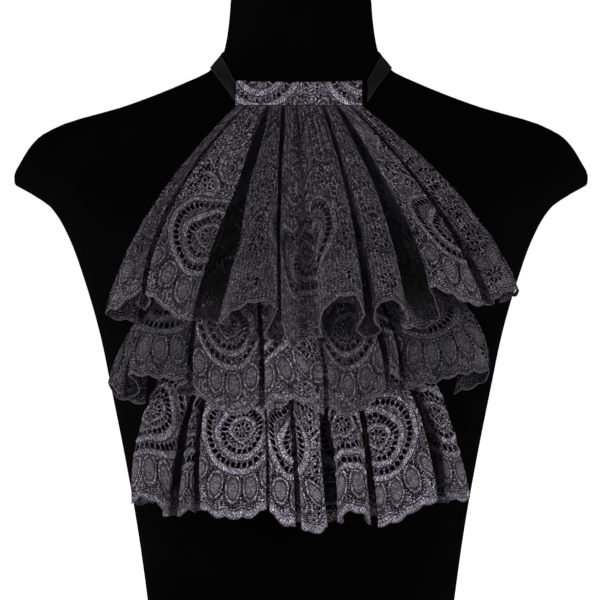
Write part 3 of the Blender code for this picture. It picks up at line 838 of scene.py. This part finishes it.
def onCloth(grid, first, last, u, v):
    # places on one pleat's face for lace coordinates, and which of them really lie on it
    across = grid["across"][:, first:last + 1]
    up = grid["up"][:, first:last + 1]
    points = grid["points"][:, first:last + 1]
    flatU = u.ravel()
    flatV = v.ravel()
    row = np.empty(len(flatU), int)
    column = np.empty(len(flatU), int)
    for i in range(len(flatU)):
        r, c = divmod(int(np.argmin((across - flatU[i]) ** 2 + (up - flatV[i]) ** 2)), across.shape[1])
        row[i] = np.clip(r, 1, across.shape[0] - 2)
        column[i] = np.clip(c, 1, across.shape[1] - 2)
    right = (row, column + 1), (row, column - 1)
    above = (row - 1, column), (row + 1, column)
    uRight, uUp = ((across[a] - across[b]) / 2 for a, b in (right, above))
    vRight, vUp = ((up[a] - up[b]) / 2 for a, b in (right, above))
    goRight, goUp = ((points[a] - points[b]) / 2 for a, b in (right, above))
    du = flatU - across[row, column]
    dv = flatV - up[row, column]
    size = uRight * vUp - uUp * vRight
    size = np.where(np.abs(size) < 1e-3, 1e-3, size)
    stepRight = np.clip((du * vUp - dv * uUp) / size, -1, 1)
    stepUp = np.clip((dv * uRight - du * vRight) / size, -1, 1)
    place = points[row, column] + goRight * stepRight[:, None] + goUp * stepUp[:, None]
    missed = np.hypot(du - stepRight * uRight - stepUp * uUp, dv - stepRight * vRight - stepUp * vUp)
    normal = np.cross(goRight, goUp)
    normal /= np.maximum(np.linalg.norm(normal, axis=-1, keepdims=True), 1e-9)
    good = (missed < braids["furthest"]) & (row > 1)
    return place.reshape(*u.shape, 3), normal.reshape(*u.shape, 3), good.reshape(u.shape)


def raisedBraids(name, grid):
    wide = lace["repeat"]
    centre = lace["medallion"]
    turns = np.linspace(-math.pi, math.pi, braids["steps"] + 1)
    share = np.array(braids["across"])[:, None]
    rise = np.array(braids["rise"])[:, None, None]
    relief = pleatData(ruffles[name])["relief"]
    points, faces, maps, reliefShades, total = [], [], [], [], 0
    for i, (a, b) in enumerate(zip(grid["starts"], grid["ends"])):
        first = max(a - braids["foldReach"], 0)
        last = b + braids["foldReach"]
        seen = grid["across"][:, first:last + 1]
        for k in range(math.floor(seen.min() / wide - 0.5), math.ceil(seen.max() / wide + 0.5) + 1):
            for kind, half in braids["halfWidths"].items():
                x, y = ringShape(kind, turns)
                radius = lace["rings"][kind] + share * half
                u = k * wide + x * radius
                v = centre + y * radius
                place, normal, good = onCloth(grid, first, last, u, v)
                solid = good[:, :-1].all(axis=0) & good[:, 1:].all(axis=0)
                if not solid.any():
                    continue
                place = place + normal * rise * (0.35 + 0.65 * relief[i])
                across, along = np.meshgrid(np.arange(len(share) - 1), np.nonzero(solid)[0], indexing="ij")
                count = len(turns)
                corner = total + across * count + along
                square = [corner, corner + 1, corner + count + 1, corner + count]
                faces.append(np.stack(square, axis=-1).reshape(-1, 4))
                points.append(place.reshape(-1, 3))
                maps.append(np.stack([u, v], axis=-1).reshape(-1, 2))
                # each braid carries its face's relief, which also sets the face's painted shade
                reliefShades.append(np.full(u.size, relief[i]))
                total += u.size
    points = np.concatenate(points)
    faces = np.concatenate(faces)
    used, renumbered = np.unique(faces, return_inverse=True)
    made = laceMesh(name + "_braids", points[used], renumbered.reshape(-1, 4).tolist(),
                    np.concatenate(maps)[used], fold=0, relief=np.concatenate(reliefShades)[used], petals=1)
    print("braids on", name, len(faces), "faces")
    return made


laceBraids = {name: raisedBraids(name, grids[name]) for name in ruffles}

print("hem cords")
hemCord = {
    # the sizes that the node group asks for, and the corners of its thread and its picots
    "sizes": {"Radius": 0.42, "Pitch": 1.1, "Bead pitch": 2.6, "Bead size": 0.5},
    "threadSides": 6, "picotSides": 6, "picotRings": 4,
}


def cordGroup(name):
    # a cord along the edges of a bare line, with small beads of thread set along it
    group = bpy.data.node_groups.new(name, "GeometryNodeTree")
    group.interface.new_socket("Geometry", in_out="INPUT", socket_type="NodeSocketGeometry")
    for label, value in hemCord["sizes"].items():
        asked = group.interface.new_socket(label, in_out="INPUT", socket_type="NodeSocketFloat")
        asked.default_value = value * mm
    group.interface.new_socket("Material", in_out="INPUT", socket_type="NodeSocketMaterial")
    group.interface.new_socket("Geometry", in_out="OUTPUT", socket_type="NodeSocketGeometry")

    def add(kind, settings=None, **links):
        made = group.nodes.new("GeometryNode" + kind)
        for label, value in (settings or {}).items():
            setattr(made, label, value)
        for label, value in links.items():
            socket = made.inputs[label.replace("_", " ")]
            if isinstance(value, bpy.types.NodeSocket):
                group.links.new(value, socket)
            else:
                socket.default_value = value
        return made

    byLength = {"mode": "LENGTH"}
    given = group.nodes.new("NodeGroupInput").outputs
    line = add("MeshToCurve", Mesh=given["Geometry"]).outputs[0]
    fine = add("ResampleCurve", byLength, Curve=line, Length=given["Pitch"])
    ring = add("CurvePrimitiveCircle", Resolution=hemCord["threadSides"], Radius=given["Radius"])
    tube = add("CurveToMesh", Curve=fine.outputs[0], Profile_Curve=ring.outputs[0])
    coarse = add("ResampleCurve", byLength, Curve=line, Length=given["Bead pitch"])
    ball = add("MeshUVSphere", Segments=hemCord["picotSides"], Rings=hemCord["picotRings"],
               Radius=given["Bead size"])
    beads = add("InstanceOnPoints", Points=coarse.outputs[0], Instance=ball.outputs[0])
    solid = add("RealizeInstances", Geometry=beads.outputs[0])
    both = add("JoinGeometry")
    for part in (tube, solid):
        group.links.new(part.outputs[0], both.inputs[0])
    dressed = add("SetMaterial", Geometry=both.outputs[0], Material=given["Material"])
    smoothed = add("SetShadeSmooth", Geometry=dressed.outputs[0])
    group.links.new(smoothed.outputs[0], group.nodes.new("NodeGroupOutput").inputs[0])
    return group


def grownOn(name, points, group, settings):
    # runs a node group on a bare line of points and keeps the result as a plain mesh
    mesh = bpy.data.meshes.new(name)
    count = len(points)
    mesh.from_pydata((points * mm).tolist(), [(i, i + 1) for i in range(count - 1)], [])
    line = bpy.data.objects.new(name + "_line", mesh)
    bpy.context.scene.collection.objects.link(line)
    modifier = line.modifiers.new("cord", "NODES")
    modifier.node_group = group
    for socket in group.interface.items_tree:
        if socket.in_out == "INPUT" and socket.name in settings:
            modifier[socket.identifier] = settings[socket.name]
    finished = bpy.data.meshes.new_from_object(line.evaluated_get(bpy.context.evaluated_depsgraph_get()))
    bpy.data.objects.remove(line)
    made = bpy.data.objects.new(name, finished)
    bpy.context.scene.collection.objects.link(made)
    return made


def threadMaterial():
    g = Graph(bpy.data.materials.new("black lace thread"))
    place = g.node("TexCoord").outputs["Object"]
    x, y, z = g.parts(place)
    # painted glints: noise makes the thread's colour brighter in spots
    twist = g.sine((x + y + z) * 5200.0)
    glint = g.noise(place, 700.0)
    tone = (twist * 0.035 + 0.06) * (0.3 + glint * 1.2)
    return g.finish({"Base Color": g.shades(tinted(1.0), tone), "Normal": g.bump(twist, 0.0002, 0.6)},
                    {"Roughness": 0.5, "Specular IOR Level": 0.4})


blackThread = threadMaterial()
cordNodes = cordGroup("hem cord")
for name, grid in grids.items():
    made = grownOn(name + "_hem_cord", grid["points"][-1], cordNodes, {"Material": blackThread})
    putOnBody(made)
    print("hem cord", made.name, len(made.data.polygons), "faces")

print("neck band")
band = {
    "left": -50.0, "right": 46.5, "low": 403.3, "high": 423.0, "dip": 1.6, "skinGap": 0.8, "wall": 3.2,
    "steps": 260, "around": 26, "puff": 0.35, "laceAcross": 31, "laceUp": -372,
    # the band's relief also sets how light the band is painted
    "relief": 1.06,
}


def bandPoints():
    # rows run round the band: up the front, over the top edge and down the back
    across = np.linspace(0, 1, band["steps"])
    x = band["left"] + across * (band["right"] - band["left"])
    top = band["high"] - band["dip"] * (1 - (2 * across - 1) ** 2)
    low = band["low"]
    half = band["wall"] / 2 - 0.15
    rows, ups = [], []
    for share in np.linspace(0, 1, band["around"], endpoint=False):
        # a loop with flat sides and round ends
        side = (share * 2) % 1
        climb = np.clip((side - 0.06) / 0.88, 0, 1)
        bulge = np.sin(math.pi * side) ** 0.35
        height = low + climb * (top - low) if share < 0.5 else top - climb * (top - low)
        ripple = band["puff"] * np.sin(x * 0.9 + 0.8 * np.sin(x * 0.23)) * np.sin(math.pi * climb)
        lift = half + (half * bulge + ripple * (share < 0.5)) * (1 if share < 0.5 else -1)
        depth = formFront(x, height) + band["skinGap"] + lift + 0.15
        rows.append(np.stack([x, -depth, height], axis=-1))
        up = height if share < 0.5 else 2 * top - height
        ups.append(up + band["laceUp"])
    return np.array(rows), np.array(ups), x + band["laceAcross"]


points, up, along = bandPoints()
rows, columns = points.shape[:2]
r, c = np.meshgrid(np.arange(rows), np.arange(columns - 1), indexing="ij")
r2 = (r + 1) % rows
faces = np.stack([r * columns + c, r * columns + c + 1, r2 * columns + c + 1, r2 * columns + c], axis=-1)
caps = [list(range((rows - 1) * columns, -1, -columns)), list(range(columns - 1, rows * columns, columns))]
neckBand = laceMesh(
    "neck_band_lace", points, faces.reshape(-1, 4).tolist() + caps,
    np.stack([np.broadcast_to(along, up.shape), up], axis=-1), "neck_band",
    fold=0, relief=band["relief"], petals=1)

print("ribbons")
ribbon = {
    # low edge: turn from the front and height, then the high edge
    "rows": ((36.5, 405.0, 42.0, 422.5), (46.5, 418.5, 51.5, 431.5), (57, 427.0, 61, 438.5),
             (73, 433.0, 74, 443.5), (92, 436.0, 92, 447.0), (130, 443.0, 130, 454.5),
             (180, 446.5, 180, 458.5), (191, 446.5, 191, 458.5)),
    "steps": 160, "across": 11, "lift": 1.3, "over": 4.1, "climb": (150, 169), "sag": 0.35,
    "apart": 0.3,
}


def ribbonPoints(side):
    table = np.array(ribbon["rows"])
    turns = np.linspace(table[0, 0], table[-1, 0], ribbon["steps"])
    lowHeight, highTurn, highHeight = (smooth(turns, table[:, 0], table[:, i]) for i in (1, 2, 3))
    lift = smooth(turns, ribbon["climb"], (ribbon["lift"], ribbon["over"])) if side > 0 else ribbon["lift"]
    rows = []
    for share in np.linspace(0, 1, ribbon["across"]):
        turn = turns + share * (highTurn - turns)
        height = lowHeight + share * (highHeight - lowHeight)
        sag = ribbon["sag"] * math.sin(math.pi * share)
        placed = formPoint(turn, height, lift + 0 * turn + sag)
        rows.append(placed * (side, 1, 1) + (side * ribbon["apart"], 0, 0))
    return np.array(rows if side > 0 else rows[::-1])


def satinMaterial():
    g = Graph(bpy.data.materials.new("black satin ribbon"))
    u, v = g.millimetres("ribbon")
    ribs = g.sine(u * (2 * math.pi / 0.55))
    edge = g.most(g.ramp(v, 1.1, 0.7), g.ramp(v, 10.9, 11.3))
    cross = g.sine(v * (2 * math.pi / 0.5))
    # painted sheen: soft lighter streaks along the ribbon in its colour, and rougher where lighter
    sheen = g.noise(g.vector(u * 0.05, v * 0.6), 1.0, 2.0)
    colour = g.shades(tinted(1.0, (1, 0.97, 1.03)), 0.003 + sheen * 0.003 + edge * 0.004 + ribs * 0.001)
    height = ribs * 0.5 + edge * (cross * 0.8 + 1.0)
    return g.finish(
        {"Base Color": colour, "Roughness": 0.5 + edge * 0.2 + sheen * 0.1,
         "Normal": g.bump(height, 0.0001, 0.6)},
        {"Specular IOR Level": 0.14})


blackSatin = satinMaterial()
for name, side in (("ribbon_left", -1), ("ribbon_right", 1)):
    points = ribbonPoints(side)
    satin = meshObject(name + "_satin", points, gridFaces(*points.shape[:2]), blackSatin)
    run = np.concatenate([[0], np.cumsum(np.linalg.norm(np.diff(points[5], axis=0), axis=-1))])
    rise = np.linspace(0, 12, ribbon["across"])[::side]
    addMap(satin, "ribbon", np.stack(np.broadcast_arrays(run[None, :], rise[:, None]), axis=-1))
    putOnBody(satin, name)

print("fastener and backing")
plainFinishes = {"level": 0.01, "roughness": {"nape_fastener": 0.7, "backing_panel": 0.85}}
for name, rough in plainFinishes["roughness"].items():
    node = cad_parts[name]
    node.data.materials.clear()
    node.data.materials.append(plainMaterial(name + " finish", plainFinishes["level"], rough))

print("studio")
studio = {
    # the camera's distance in metres, its height and shift in millimetres, and what it frames
    "distance": 3.0, "eye": 255, "side": -0.8, "frame": 468, "aim": (0, -0.08, 0.27),
    # name, turn, height, power, size, distance
    "softboxes": (
        ("left softbox", -66, 0.55, 42.0, 0.7, 1.8),
        ("right softbox", 66, 0.55, 34.0, 0.7, 1.8),
        ("front softbox", -8, 0.35, 8.0, 0.5, 2.8),
    ),
    "backdrop": 1.05, "fill": 0.02,
    "floorGlow": 1.25, "floorShare": 0.9, "floorReach": 9000, "floorDrop": -0.2,
}
scene = bpy.context.scene
scene.view_settings.view_transform = "Standard"
scene.view_settings.look = "None"
eye = bpy.data.cameras.new("camera")
camera = bpy.data.objects.new("camera", eye)
scene.collection.objects.link(camera)
camera.location = (studio["side"] * mm, -studio["distance"], studio["eye"] * mm)
camera.rotation_euler = (math.pi / 2, 0, 0)
eye.angle = 2 * math.atan(studio["frame"] * mm / 2 / studio["distance"])
scene.camera = camera


def softbox(name, turn, height, power, size, away):
    light = bpy.data.lights.new(name, "AREA")
    light.shape = "SQUARE"
    light.size = size
    light.energy = power
    lamp = bpy.data.objects.new(name, light)
    scene.collection.objects.link(lamp)
    lamp.location = (away * math.sin(math.radians(turn)), -away * math.cos(math.radians(turn)), height)
    aim = Vector(studio["aim"]) - lamp.location
    lamp.rotation_euler = aim.to_track_quat("-Z", "Y").to_euler()
    return lamp


for name, turn, height, power, size, away in studio["softboxes"]:
    softbox(name, turn, height, power, size, away)

# the camera sees a white backdrop, which lights the piece only a little
white = (1, 1, 1, 1)
scene.world = bpy.data.worlds.new("studio")
sky = Graph(scene.world)
lit = sky.node("Background", None, {"Color": white, "Strength": studio["fill"]})
seen = sky.node("Background", None, {"Color": white, "Strength": studio["backdrop"]})
fromCamera = sky.node("LightPath").outputs["Is Camera Ray"]
both = sky.node("MixShader", None, {0: fromCamera, 1: lit.outputs[0], 2: seen.outputs[0]})
sky.node("OutputWorld", None, {"Surface": both.outputs[0]})

paper = Graph(bpy.data.materials.new("pale floor"))
dull = paper.node("BsdfPrincipled", None, {
    "Base Color": (0.93, 0.93, 0.93, 1), "Roughness": 0.9, "Specular IOR Level": 0.1})
glow = paper.node("Emission", None, {"Color": white, "Strength": studio["floorGlow"]})
fromCamera = Num(paper, paper.node("LightPath").outputs["Is Camera Ray"])
both = paper.node("MixShader", None, {
    0: fromCamera * studio["floorShare"], 1: dull.outputs[0], 2: glow.outputs[0]})
paper.node("OutputMaterial", None, {"Surface": both.outputs[0]})
far, drop = studio["floorReach"], studio["floorDrop"]
floor = meshObject("floor", [(-far, -far, drop), (far, -far, drop), (far, far, drop), (-far, far, drop)],
                   [(0, 1, 2, 3)], paper.owner)

bpy.context.view_layer.update()
